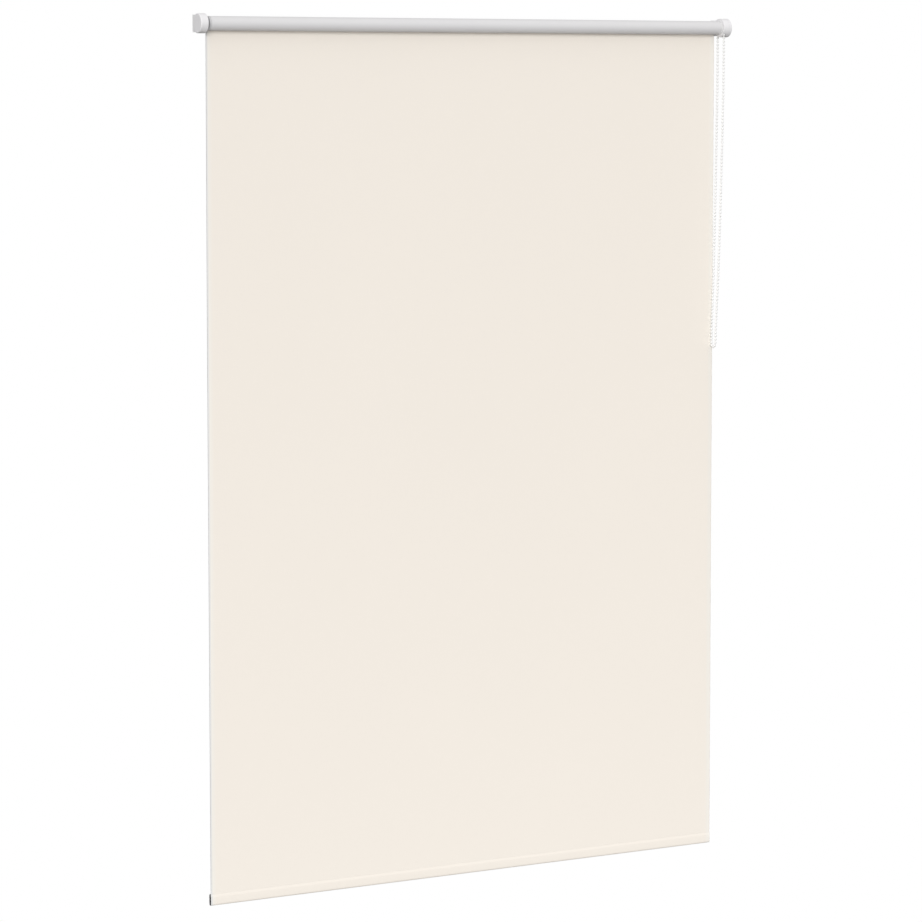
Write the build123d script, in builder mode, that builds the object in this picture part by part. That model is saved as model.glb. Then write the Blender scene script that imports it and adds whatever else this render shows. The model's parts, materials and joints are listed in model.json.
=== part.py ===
"""Roller blind with a bead-chain clutch, wall brackets, fabric panel and weighted hem.

Frame: +X to the right as seen from the room, +Y into the wall, +Z up. The wall is the plane y = 0,
and the roller's axis runs along X at z = 0. Everything is in millimetres.
"""

import os
from math import cos, pi, radians, sin, sqrt, tan

from build123d import *

os.makedirs("parts", exist_ok=True)

# ---- Overall sizes -------------------------------------------------------------------------
overall_width = 1050.0  # between the outer faces of the two end covers
overall_drop = 1500.0  # from the top of the covers to the lower edge of the hem
axis_to_wall = 22.0  # from the wall to the roller's axis
cover_radius = 16.5

# ---- Clearances ----------------------------------------------------------------------------
running_fit = 0.05  # radial, on a pin or sleeve that turns
press_gap = 0.05  # radial, between pieces that are pushed together for good
snap_gap = 0.3  # between a cover and the bracket plate that it snaps on
turning_gap = 0.5  # between a turning flange and the still piece beside it
soft_gap = 0.3  # between fabric pieces that move apart

# ---- Roller --------------------------------------------------------------------------------
tube_radius = 11.5
tube_wall = 1.0
fabric_thickness = 0.35
wound_turns = 2
fabric_inset = 1.0  # the fabric is this much narrower than the tube at each end
left_reveal = 20.2  # from the left cover's outer face to the tube's end
right_reveal = 19.0  # from the right cover's outer face to the tube's end

# ---- Covers and brackets -------------------------------------------------------------------
cover_face = 1.6  # thickness of a cover's round face
cover_rim = 1.8  # thickness of a cover's rim
cover_edge = 1.5  # rounding of a cover's outer edge
left_cover_depth = 13.5
plate_thickness = 1.5
flange_reach = 20.0  # of the wall flange, along the wall
screw_radius = 2.25
screw_inset = 11.5  # of the screws from the plate's outer face
screw_spacing = 18.0
bracket_corner = 3.0
bend_radius = 1.2

# ---- Idle end ------------------------------------------------------------------------------
plug_length = 45.0
plug_flange = 1.5
plug_flange_radius = 12.0
plug_flutes = 6
flute_radius = 1.6
chamber_radius = 5.0  # the spring chamber in the plug
chamber_floor = 3.5
bush_radius = 6.5
bush_seat = 10.0  # how far the bush reaches into the plug
bush_to_plate = 0.8
pin_radius = 3.0
pin_collar_length = 3.0
pin_tail_radius = 1.8
pin_tail_length = 15.0
pin_tip_rounding = 0.8
pin_to_cover = 0.4
spring_wire_radius = 0.4
spring_radius = 3.4
spring_turns = 9

# ---- Chain and chain wheel -----------------------------------------------------------------
bead_radius = 2.25
bead_pitch = 6.0
thread_radius = 0.65
wheel_pockets = 10
wheel_rim_over_pitch = 1.5
wheel_thickness = 4.4
wheel_side_gap = 0.3
pocket_gap = 0.2  # between a bead and its pocket
thread_groove_half_width = 0.9
thread_groove_gap = 0.2
chain_gap = 0.75  # between the beads on the wheel and the housing
exit_gap = 0.55  # between a bead and the chain's exit slot
chain_exit_depth = 13.0  # below the axis, where the chain leaves the housing

# ---- Clutch --------------------------------------------------------------------------------
housing_wall = 1.2
housing_floor = 1.5
housing_skirt_depth = 3.3
housing_skirt_wall = 2.0
mouth_gap = 1.4  # between the clutch sleeve and the housing's mouth
post_radius = 5.0
post_length = 53.0
core_flange = 3.0
core_boss_radius = 9.0
core_key = 8.0  # side of the square key that stops the core from turning
key_gap = 0.1
key_stand_out = 0.2  # how far the key stands out past the bracket plate
seam = 0.2  # between the right cover's rim and the housing
wrap_wire_radius = 0.48
wrap_turns = 8
wrap_gap = 1.0  # along the post, between the two wrap springs
sleeve_gap = 0.2  # between the wrap springs and the clutch sleeve
sleeve_wall = 1.35
sleeve_length = 24.0
sleeve_window_angle = 50.0
tang_angle = 20.0
tang_inset = 0.3  # of the tangs' tips inside the sleeve's outer surface
crown_wall = 1.4
crown_rib_angle = 28.0
crown_rib_clearance = 0.15
crown_length = 42.0
crown_floor = 1.5
crown_flange = 1.4
crown_flutes = 8
screw_head_radius = 7.0
screw_head_height = 2.4
screw_bore_depth = 14.0  # of the hole in the post
screw_shank_length = 10.5
screw_recess_radius = 2.2
screw_recess_depth = 1.4

# ---- Fabric and hem ------------------------------------------------------------------------
pocket_height = 20.0
pocket_depth = 7.6
pocket_front = 1.0  # how far the pocket stands out in front of the fabric
bar_gap = 0.35
bar_wall = 1.0
bar_inset = 0.5  # from the fabric's edge to the bar's end

# ---- Worked-out places ---------------------------------------------------------------------
axis_y = -axis_to_wall
half_width = overall_width / 2
hem_z = cover_radius - overall_drop
roll_radius = tube_radius + wound_turns * fabric_thickness
tube_bore = tube_radius - tube_wall
tube_left = -half_width + left_reveal
tube_right = half_width - right_reveal
fabric_left = tube_left + fabric_inset
fabric_right = tube_right - fabric_inset
fabric_width = fabric_right - fabric_left
fabric_middle = (fabric_left + fabric_right) / 2
cavity_radius = cover_radius - cover_rim
plate_half_height = cavity_radius - snap_gap
plate_outer = half_width - cover_face - snap_gap  # distance of a plate's outer face from x = 0
plate_inner = plate_outer - plate_thickness
screw_x = plate_outer - screw_inset


def across(x):
    """The plane through x on the roller's axis that faces +X, with its own x along +Y."""
    return Plane(origin=(x, axis_y, 0), x_dir=(0, 1, 0), z_dir=(1, 0, 0))


def write(piece, name):
    """Labels a finished piece and writes it as its own STEP file."""
    piece.label = name
    export_step(piece, f"parts/{name}.step")


# ==== Wall brackets =========================================================================


def bracket_profile(side):
    """The L of a bracket seen from above; side is -1 for the left bracket and 1 for the right."""
    return Polyline(
        (side * plate_outer, 0),
        (side * plate_outer, axis_y - plate_half_height),
        (side * plate_inner, axis_y - plate_half_height),
        (side * plate_inner, -plate_thickness),
        (side * (plate_outer - flange_reach), -plate_thickness),
        (side * (plate_outer - flange_reach), 0),
        close=True,
    )


for side, name in ((-1, "left_bracket"), (1, "right_bracket")):
    with BuildPart() as bracket:
        with BuildSketch(Plane.XY.offset(-plate_half_height)):
            with BuildLine():
                bracket_profile(side)
            make_face()
        extrude(amount=2 * plate_half_height)
        bend = bracket.edges().filter_by(Axis.Z).group_by(Axis.Y)[-1]
        fillet(bend.sort_by(Axis.X)[0 if side < 0 else -1], bend_radius)
        with BuildSketch(across(side * plate_outer)):
            with Locations((-plate_half_height / 2, 0)):
                Rectangle(plate_half_height, 2 * plate_half_height)
            Circle(plate_half_height, mode=Mode.SUBTRACT)
        extrude(amount=-side * plate_thickness, mode=Mode.SUBTRACT)
        free_end = bracket.faces().sort_by(Axis.X)[-1 if side < 0 else 0]
        fillet(free_end.edges().filter_by(Axis.Y), bracket_corner)
        flange_front = Plane((side * screw_x, -plate_thickness, 0), x_dir=(1, 0, 0), z_dir=(0, -1, 0))
        with Locations(flange_front):
            with GridLocations(0, screw_spacing, 1, 2):
                Hole(screw_radius, depth=plate_thickness)
        with BuildSketch(across(side * plate_outer)):
            if side < 0:
                Circle(pin_radius + running_fit)
            else:
                Rectangle(core_key + 2 * key_gap, core_key + 2 * key_gap)
        extrude(amount=-side * plate_thickness, mode=Mode.SUBTRACT)
    write(bracket.part, name)


# ==== End covers ============================================================================


def cover_depth(side):
    """How far a cover reaches in from its outer face."""
    if side < 0:
        return left_cover_depth
    return half_width - housing_outboard - seam


wheel_cavity = wheel_thickness + 2 * wheel_side_gap
housing_inboard = tube_right + crown_flange + turning_gap
wheel_cavity_start = housing_inboard + housing_wall
wheel_cavity_end = wheel_cavity_start + wheel_cavity
wheel_x = wheel_cavity_start + wheel_cavity / 2
core_start = wheel_cavity_end + housing_floor
housing_outboard = core_start + housing_skirt_depth

for side, name in ((-1, "left_cover"), (1, "right_cover")):
    depth = cover_depth(side)
    with BuildPart() as cover:
        with BuildSketch(across(side * half_width)):
            Circle(cover_radius)
        extrude(amount=-side * depth)
        outer_face = cover.faces().sort_by(Axis.X)[0 if side < 0 else -1]
        fillet(outer_face.edges(), cover_edge)
        with BuildSketch(across(side * (half_width - cover_face))):
            Circle(cavity_radius)
        extrude(amount=-side * (depth - cover_face), mode=Mode.SUBTRACT)
        with BuildSketch(across(side * (half_width - cover_face))):
            with Locations((cover_radius, 0)):
                Rectangle(2 * cover_radius, 2 * cavity_radius)
        extrude(amount=-side * (depth - cover_face), mode=Mode.SUBTRACT)
    write(cover.part, name)


# ==== Roller: tube, wound fabric, idle plug =================================================

with BuildPart() as roller_tube:
    with BuildSketch(across(tube_left)):
        Circle(tube_radius)
        Circle(tube_bore, mode=Mode.SUBTRACT)
    extrude(amount=tube_right - tube_left)
write(roller_tube.part, "roller_tube")

with BuildPart() as fabric_wraps:
    with BuildSketch(across(fabric_left)):
        Circle(roll_radius)
        Circle(tube_radius + press_gap, mode=Mode.SUBTRACT)
    extrude(amount=fabric_width)
write(fabric_wraps.part, "fabric_wraps")

plug_face = tube_left - plug_flange
chamber_end = tube_left + plug_length - chamber_floor

with BuildPart() as idle_plug:
    with BuildSketch(across(tube_left)):
        Circle(tube_bore - press_gap)
        with PolarLocations(tube_bore, plug_flutes):
            Circle(flute_radius, mode=Mode.SUBTRACT)
    extrude(amount=plug_length)
    with BuildSketch(across(plug_face)):
        Circle(plug_flange_radius)
    extrude(amount=plug_flange)
    with BuildSketch(across(plug_face)):
        Circle(chamber_radius)
    extrude(amount=chamber_end - plug_face, mode=Mode.SUBTRACT)
write(idle_plug.part, "idle_plug")

bush_tip = -plate_inner + bush_to_plate
bush_end = plug_face + bush_seat

with BuildPart() as idle_bush:
    with BuildSketch(across(bush_tip)):
        Circle(bush_radius)
    extrude(amount=plug_face - bush_tip)
    fillet(idle_bush.faces().sort_by(Axis.X)[0].edges(), pin_tip_rounding)
    with BuildSketch(across(plug_face)):
        Circle(chamber_radius - press_gap)
    extrude(amount=bush_seat)
    with BuildSketch(across(bush_tip)):
        Circle(pin_radius + running_fit)
    extrude(amount=bush_end - bush_tip, mode=Mode.SUBTRACT)
write(idle_bush.part, "idle_bush")

pin_tip = -half_width + cover_face + pin_to_cover
collar_start = bush_end + running_fit
collar_end = collar_start + pin_collar_length

with BuildPart() as idle_pin:
    with BuildSketch(across(pin_tip)):
        Circle(pin_radius)
    extrude(amount=collar_start - pin_tip)
    fillet(idle_pin.faces().sort_by(Axis.X)[0].edges(), pin_tip_rounding)
    with BuildSketch(across(collar_start)):
        Circle(chamber_radius - running_fit)
    extrude(amount=pin_collar_length)
    with BuildSketch(across(collar_end)):
        Circle(pin_tail_radius)
    extrude(amount=pin_tail_length)
write(idle_pin.part, "idle_pin")

spring_length = chamber_end - collar_end
spring_step = spring_length / spring_turns

with BuildPart() as idle_spring:
    with BuildSketch(Plane(origin=(collar_end, axis_y, 0), x_dir=(1, 0, 0), z_dir=(0, -1, 0))):
        with Locations((spring_length / 2, spring_radius)):
            Rectangle(spring_length, spring_wire_radius)
        for turn in range(spring_turns):
            with Locations(((turn + 0.5) * spring_step, spring_radius)):
                Circle(spring_wire_radius)
    revolve(axis=Axis((0, axis_y, 0), (1, 0, 0)))
write(idle_spring.part, "idle_spring")


# ==== Chain wheel and housing ===============================================================

pitch_radius = bead_pitch / (2 * sin(radians(180 / wheel_pockets)))
wheel_radius = pitch_radius + wheel_rim_over_pitch
bead_path_radius = pitch_radius + bead_radius + chain_gap
slot_half_width = bead_radius + exit_gap
wheel_start = wheel_x - wheel_thickness / 2
wrap_radius = post_radius + running_fit + wrap_wire_radius
sleeve_inner_radius = wrap_radius + wrap_wire_radius + sleeve_gap
sleeve_outer_radius = sleeve_inner_radius + sleeve_wall

with BuildPart() as drive_housing:
    with BuildSketch(across(housing_inboard)):
        Circle(cover_radius)
    extrude(amount=housing_outboard - housing_inboard)
    with BuildSketch(across(core_start)):
        Circle(cover_radius - housing_skirt_wall)
    extrude(amount=housing_skirt_depth, mode=Mode.SUBTRACT)
    with BuildSketch(across(wheel_cavity_start)):
        Circle(bead_path_radius)
    extrude(amount=wheel_cavity, mode=Mode.SUBTRACT)
    with BuildSketch(across(wheel_cavity_start)):
        with Locations((-pitch_radius, -cover_radius / 2), (pitch_radius, -cover_radius / 2)):
            Rectangle(2 * slot_half_width, cover_radius + 1)
    extrude(amount=wheel_cavity, mode=Mode.SUBTRACT)
    with BuildSketch(across(housing_inboard)):
        Circle(sleeve_outer_radius + mouth_gap)
    extrude(amount=housing_wall, mode=Mode.SUBTRACT)
    with BuildSketch(across(wheel_cavity_end)):
        Circle(post_radius + press_gap)
    extrude(amount=housing_floor, mode=Mode.SUBTRACT)
write(drive_housing.part, "drive_housing")

sleeve_end = wheel_start - sleeve_length

with BuildPart() as chain_wheel:
    with BuildSketch(across(wheel_start)):
        Circle(wheel_radius)
    extrude(amount=wheel_thickness)
    with Locations(across(wheel_x)):
        with PolarLocations(pitch_radius, wheel_pockets):
            Sphere(bead_radius + pocket_gap, mode=Mode.SUBTRACT)
    with BuildSketch(across(wheel_x - thread_groove_half_width)):
        Circle(wheel_radius + 1)
        Circle(pitch_radius - thread_radius - thread_groove_gap, mode=Mode.SUBTRACT)
    extrude(amount=2 * thread_groove_half_width, mode=Mode.SUBTRACT)
    with BuildSketch(across(sleeve_end)):
        Circle(sleeve_outer_radius)
    extrude(amount=sleeve_length)
    with BuildSketch(across(sleeve_end)):
        Circle(sleeve_inner_radius)
    extrude(amount=sleeve_length, mode=Mode.SUBTRACT)
    with BuildSketch(across(wheel_start)):
        Circle(post_radius + running_fit)
    extrude(amount=wheel_thickness, mode=Mode.SUBTRACT)
    with BuildSketch(across(sleeve_end)):
        with BuildLine():
            half_window = radians(sleeve_window_angle / 2)
            far = 2 * sleeve_outer_radius
            Polyline(
                (0, 0),
                (-far * sin(half_window), far * cos(half_window)),
                (far * sin(half_window), far * cos(half_window)),
                close=True,
            )
        make_face()
    extrude(amount=sleeve_length - wheel_side_gap, mode=Mode.SUBTRACT)
write(chain_wheel.part, "chain_wheel")

wrap_step = 2 * wrap_wire_radius
wrap_length = wrap_turns * wrap_step
wrap_first = wheel_start - wheel_side_gap - 2 * wrap_length - wrap_gap

with BuildPart() as wrap_springs:
    for start in (wrap_first, wrap_first + wrap_length + wrap_gap):
        with BuildSketch(Plane(origin=(start, axis_y, 0), x_dir=(1, 0, 0), z_dir=(0, -1, 0))):
            with Locations((wrap_length / 2, wrap_radius)):
                Rectangle(wrap_length - wrap_wire_radius, wrap_wire_radius)
            for turn in range(wrap_turns):
                with Locations(((turn + 0.5) * wrap_step, wrap_radius)):
                    Circle(wrap_wire_radius)
        revolve(axis=Axis((0, axis_y, 0), (1, 0, 0)))
        for end, angle in ((0.5, tang_angle), (wrap_turns - 0.5, -tang_angle)):
            outward = (0, sin(radians(angle)), cos(radians(angle)))
            root = (
                start + end * wrap_step,
                axis_y + wrap_radius * outward[1],
                wrap_radius * outward[2],
            )
            with BuildSketch(Plane(origin=root, z_dir=outward)):
                Circle(wrap_wire_radius)
            extrude(amount=sleeve_outer_radius - tang_inset - wrap_radius)
write(wrap_springs.part, "wrap_springs")


# ==== Clutch core, crown and retaining screw ================================================

post_end = core_start - post_length
crown_bore = tube_bore - press_gap - crown_wall
crown_start = tube_right - crown_length
key_end = plate_outer + key_stand_out

with BuildPart() as clutch_core:
    with BuildSketch(across(core_start)):
        Circle(cover_radius - housing_skirt_wall - press_gap)
    extrude(amount=core_flange)
    with BuildSketch(across(core_start + core_flange)):
        Circle(core_boss_radius)
    extrude(amount=plate_inner - core_start - core_flange)
    with BuildSketch(across(plate_inner)):
        Rectangle(core_key, core_key)
    extrude(amount=key_end - plate_inner)
    with BuildSketch(across(post_end)):
        Circle(post_radius)
    extrude(amount=post_length)
    with BuildSketch(across(post_end)):
        Circle(screw_recess_radius)
    extrude(amount=screw_bore_depth, mode=Mode.SUBTRACT)
write(clutch_core.part, "clutch_core")

with BuildPart() as drive_crown:
    with BuildSketch(across(crown_start)):
        Circle(tube_bore - press_gap)
        with PolarLocations(tube_bore, crown_flutes):
            Circle(flute_radius / 2, mode=Mode.SUBTRACT)
    extrude(amount=crown_length)
    with BuildSketch(across(tube_right)):
        Circle(plug_flange_radius)
    extrude(amount=crown_flange)
    with BuildSketch(across(crown_start + crown_floor)):
        Circle(crown_bore)
        with BuildLine():
            half_rib = radians(crown_rib_angle / 2)
            rib_tip = sleeve_inner_radius + crown_rib_clearance
            rib_root = crown_bore + crown_wall / 2
            Polyline(
                (rib_tip * sin(half_rib), rib_tip * cos(half_rib)),
                (-rib_tip * sin(half_rib), rib_tip * cos(half_rib)),
                (-rib_root * sin(half_rib), rib_root * cos(half_rib)),
                (rib_root * sin(half_rib), rib_root * cos(half_rib)),
                close=True,
            )
        make_face(mode=Mode.SUBTRACT)
    extrude(amount=crown_length + crown_flange - crown_floor, mode=Mode.SUBTRACT)
    with BuildSketch(across(crown_start)):
        Circle(post_radius + running_fit)
    extrude(amount=crown_floor, mode=Mode.SUBTRACT)
write(drive_crown.part, "drive_crown")

with BuildPart() as core_screw:
    with BuildSketch(across(post_end)):
        Circle(screw_head_radius)
    extrude(amount=-screw_head_height)
    fillet(core_screw.faces().sort_by(Axis.X)[0].edges(), screw_recess_depth / 2)
    with BuildSketch(across(post_end)):
        Circle(screw_recess_radius - press_gap)
    extrude(amount=screw_shank_length)
    with BuildSketch(across(post_end - screw_head_height)):
        Rectangle(2 * screw_recess_radius, screw_recess_radius / 2)
        Rectangle(screw_recess_radius / 2, 2 * screw_recess_radius)
    extrude(amount=screw_recess_depth, mode=Mode.SUBTRACT)
write(core_screw.part, "core_screw")


# ==== Bead chain ============================================================================

front_y = axis_y - pitch_radius
back_y = axis_y + pitch_radius

with BuildPart() as chain_on_wheel:
    with BuildLine():
        start = (wheel_x, front_y, -chain_exit_depth)
        shoulder = (wheel_x, front_y, 0)
        Line(start, shoulder)
        ThreePointArc(shoulder, (wheel_x, axis_y, pitch_radius), (wheel_x, back_y, 0))
        Line((wheel_x, back_y, 0), (wheel_x, back_y, -chain_exit_depth))
    with BuildSketch(Plane(origin=start, z_dir=(0, 0, 1))):
        Circle(thread_radius)
    sweep()
write(chain_on_wheel.part, "chain_on_wheel")

# The free loop as (x from the wheel, y from the axis, z), down the front strand and up the back.
chain_route = [
    (0.0, -pitch_radius, -chain_exit_depth),
    (0.0, -pitch_radius, -42.0),
    (-0.2, -9.6, -84.0),
    (-0.7, -9.4, -132.0),
    (-1.5, -9.3, -186.0),
    (-2.6, -8.8, -241.0),
    (-3.6, -8.5, -296.0),
    (-4.9, -8.0, -350.0),
    (-5.9, -7.3, -401.0),
    (-7.2, -6.6, -447.0),
    (-8.6, -5.6, -487.0),
    (-9.7, -4.9, -521.0),
    (-10.4, -4.5, -541.0),
    (-10.7, -4.6, -559.5),
    (-10.9, -4.3, -569.2),
    (-11.0, -0.5, -573.3),
    (-11.0, 5.0, -573.1),
    (-10.9, 8.8, -569.0),
    (-10.6, 8.9, -559.0),
    (-10.3, 8.8, -540.0),
    (-9.4, 8.7, -514.0),
    (-8.2, 8.9, -478.0),
    (-6.7, 8.8, -432.0),
    (-5.3, 9.0, -380.0),
    (-4.2, 9.2, -326.0),
    (-2.9, 9.3, -270.0),
    (-1.9, 9.5, -214.0),
    (-1.0, 9.4, -160.0),
    (-0.4, 9.6, -108.0),
    (-0.1, 9.6, -57.0),
    (0.0, pitch_radius, -chain_exit_depth),
]


def corner_radii(points, share=0.45):
    """The largest arc at each corner that leaves its two runs room: share of the shorter run."""
    radii = []
    for before, corner, after in zip(points, points[1:], points[2:]):
        arriving = Vector(*corner) - Vector(*before)
        leaving = Vector(*after) - Vector(*corner)
        half_turn = radians(arriving.get_angle(leaving)) / 2
        radii.append(share * min(arriving.length, leaving.length) / tan(half_turn))
    return radii


chain_points = [(wheel_x + x, axis_y + y, z) for x, y, z in chain_route]
chain_radii = corner_radii(chain_points)

with BuildPart() as chain_loop:
    with BuildLine() as chain_line:
        FilletPolyline(*chain_points, radius=chain_radii)
    with BuildSketch(Plane(origin=chain_points[0], z_dir=chain_line.line % 0)):
        Circle(thread_radius)
    sweep()
write(chain_loop.part, "chain_loop")

chain_length = sum(edge.length for edge in chain_line.edges())
chain_filling = chain_loop.part.volume / (pi * thread_radius**2 * chain_length)
print("chain radii, mm:", [round(radius, 1) for radius in chain_radii])
print("free chain, mm:", round(chain_length, 1), "volume / (section x length):", round(chain_filling, 4))


# ==== Fabric panel, hem pocket and hem bar ==================================================

fabric_back = axis_y + roll_radius
fabric_front = fabric_back - fabric_thickness
clear_radius = roll_radius + soft_gap
panel_top = -sqrt(clear_radius**2 - (fabric_front - axis_y) ** 2)
pocket_top = hem_z + pocket_height
pocket_y = fabric_front - pocket_front + pocket_depth / 2
pocket_z = hem_z + pocket_height / 2


def hem_section(x, shrink):
    """The plane at x, centred on the hem pocket, and the pocket's size less shrink all round."""
    plane = Plane(origin=(x, pocket_y, pocket_z), x_dir=(0, 1, 0), z_dir=(1, 0, 0))
    return plane, pocket_depth - 2 * shrink, pocket_height - 2 * shrink


with BuildPart() as fabric_panel:
    with BuildSketch(Plane.XY.offset(pocket_top + soft_gap)):
        with Locations((fabric_middle, (fabric_front + fabric_back) / 2)):
            Rectangle(fabric_width, fabric_thickness)
    extrude(amount=panel_top - pocket_top - soft_gap)
write(fabric_panel.part, "fabric_panel")

with BuildPart() as hem_pocket:
    plane, depth, height = hem_section(fabric_left, 0)
    with BuildSketch(plane):
        SlotOverall(height, depth, rotation=90)
        plane, depth, height = hem_section(fabric_left, fabric_thickness)
        SlotOverall(height, depth, rotation=90, mode=Mode.SUBTRACT)
    extrude(amount=fabric_width)
write(hem_pocket.part, "hem_pocket")

with BuildPart() as hem_bar:
    plane, depth, height = hem_section(fabric_left + bar_inset, fabric_thickness + bar_gap)
    with BuildSketch(plane):
        SlotOverall(height, depth, rotation=90)
        plane, depth, height = hem_section(fabric_left, fabric_thickness + bar_gap + bar_wall)
        SlotOverall(height, depth, rotation=90, mode=Mode.SUBTRACT)
        Rectangle(depth + bar_wall, bar_wall)
    extrude(amount=fabric_width - 2 * bar_inset)
write(hem_bar.part, "hem_bar")
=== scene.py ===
# %% [markdown]
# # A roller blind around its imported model
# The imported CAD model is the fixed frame: brackets, covers, tube, clutch and hem bar are already
# there at their real size and place. This script keeps those hard parts, gives each a finish, and
# makes what CAD can't: woven cloth, wire springs and the bead chain. Lengths are in metres.

# %% Load the frame
import json
from math import cos, pi, radians, sin

import bpy
import numpy as np
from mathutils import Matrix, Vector


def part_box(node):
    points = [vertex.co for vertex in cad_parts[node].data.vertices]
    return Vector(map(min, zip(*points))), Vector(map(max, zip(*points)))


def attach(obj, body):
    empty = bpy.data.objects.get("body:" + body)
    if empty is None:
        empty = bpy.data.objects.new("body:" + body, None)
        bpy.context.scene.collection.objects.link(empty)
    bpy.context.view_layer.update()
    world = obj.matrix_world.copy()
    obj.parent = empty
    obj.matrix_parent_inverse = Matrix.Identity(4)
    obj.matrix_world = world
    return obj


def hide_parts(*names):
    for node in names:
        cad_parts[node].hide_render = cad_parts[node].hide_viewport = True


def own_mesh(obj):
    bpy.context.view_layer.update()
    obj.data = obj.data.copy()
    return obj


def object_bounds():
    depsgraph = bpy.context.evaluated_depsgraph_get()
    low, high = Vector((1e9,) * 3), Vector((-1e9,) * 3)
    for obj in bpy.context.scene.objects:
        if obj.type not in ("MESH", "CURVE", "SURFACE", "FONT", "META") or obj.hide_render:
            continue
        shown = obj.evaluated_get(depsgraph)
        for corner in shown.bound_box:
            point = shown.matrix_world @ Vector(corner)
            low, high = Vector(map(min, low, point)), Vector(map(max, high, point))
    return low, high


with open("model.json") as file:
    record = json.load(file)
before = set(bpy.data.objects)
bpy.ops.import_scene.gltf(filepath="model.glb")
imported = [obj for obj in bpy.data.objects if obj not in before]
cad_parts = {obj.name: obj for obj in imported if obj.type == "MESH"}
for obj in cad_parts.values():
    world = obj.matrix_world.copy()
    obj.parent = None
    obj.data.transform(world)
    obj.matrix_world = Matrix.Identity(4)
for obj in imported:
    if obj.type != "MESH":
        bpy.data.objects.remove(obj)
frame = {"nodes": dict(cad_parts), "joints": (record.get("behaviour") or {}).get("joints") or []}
nodes = frame["nodes"]
cad_low, cad_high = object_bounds()

# %% [markdown]
# ## Places taken from the frame
# Everything that is made here sits on a CAD part, so its place is read from that part's box. The
# roller's axis is the middle of the tube, and the chain hangs in the plane of its wheel.

# %% Read the places
tube_low, tube_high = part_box("roller_tube")
roll_low, roll_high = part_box("fabric_wraps")
panel_low, panel_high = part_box("fabric_panel")
pocket_low, pocket_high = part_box("hem_pocket")
wheel_chain_low, wheel_chain_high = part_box("chain_on_wheel")
axis_y = (tube_low.y + tube_high.y) / 2
roll_radius = (roll_high.z - roll_low.z) / 2
cloth_thickness = panel_high.y - panel_low.y
cloth_left, cloth_right = panel_low.x, panel_high.x
cloth_width = cloth_right - cloth_left
cloth_y = (panel_low.y + panel_high.y) / 2
wheel_x = (wheel_chain_low.x + wheel_chain_high.x) / 2


def travel_of(joint_name):
    """How far a sliding joint of the frame goes, in metres."""
    return next(joint for joint in frame["joints"] if joint["name"] == joint_name)["range_m"][1]


print("axis at y", round(axis_y, 4), "and wheel at x", round(wheel_x, 4))
print("cloth", round(cloth_width, 4), "wide")

# %% [markdown]
# ## Camera
# The blind is seen from the front left, from about the height of its roller, through a long lens.
# A long lens far away keeps the two side edges nearly parallel. The picture's frame is also shifted
# down a little. A shift shows the lower part of the blind without tilting the camera any further,
# and the less a camera is tilted, the more upright its verticals stay.

# %% Set the camera
CAMERA_PLACE = Vector((-3.022, -5.290, -0.098))
CAMERA_YAW = radians(29.64)
CAMERA_PITCH = radians(4.805)
CAMERA_LENS = 137.1
CAMERA_SHIFT = -0.09

camera_data = bpy.data.cameras.new("camera")
camera_data.lens = CAMERA_LENS
camera_data.shift_y = CAMERA_SHIFT
camera = bpy.data.objects.new("camera", camera_data)
bpy.context.scene.collection.objects.link(camera)
bpy.context.scene.camera = camera
camera.location = CAMERA_PLACE
looking = Vector(
    (
        sin(CAMERA_YAW) * cos(CAMERA_PITCH),
        cos(CAMERA_YAW) * cos(CAMERA_PITCH),
        -sin(CAMERA_PITCH),
    )
)
camera.rotation_mode = "QUATERNION"
camera.rotation_quaternion = looking.to_track_quat("-Z", "Y")
print("camera", round((camera.location - (cad_low + cad_high) / 2).length, 2), "m from the blind")

# %% [markdown]
# ## Shader arithmetic
# A woven or moulded finish is mostly sums of waves and noise. `Signal` wraps a shader socket, so
# that such a sum is written as plain Python, and each operator adds one Math node. `Finish` is a
# material with one method that adds any other node.


# %% Write shader maths as Python
NOISE_ROUGHNESS = 0.55


class Signal:
    """A shader socket that takes Python arithmetic; each operation adds one Math node."""

    def __init__(self, finish, socket):
        self.finish = finish
        self.socket = socket

    def math(self, operation, *values):
        return self.finish.add("ShaderNodeMath", {"operation": operation}, dict(enumerate(values)))

    def __add__(self, other):
        return self.math("ADD", self, other)

    def __sub__(self, other):
        return self.math("SUBTRACT", self, other)

    def __rsub__(self, other):
        return self.math("SUBTRACT", other, self)

    def __mul__(self, other):
        return self.math("MULTIPLY", self, other)

    def __abs__(self):
        return self.math("ABSOLUTE", self)

    def sine(self):
        return self.math("SINE", self)

    def above(self, limit, softness):
        """0 below limit and 1 above it, with a soft step softness wide."""
        ranged = {"interpolation_type": "SMOOTHSTEP"}
        values = {0: self, 1: limit - softness / 2, 2: limit + softness / 2}
        return self.finish.add("ShaderNodeMapRange", ranged, values)

    __radd__ = __add__
    __rmul__ = __mul__


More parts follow.
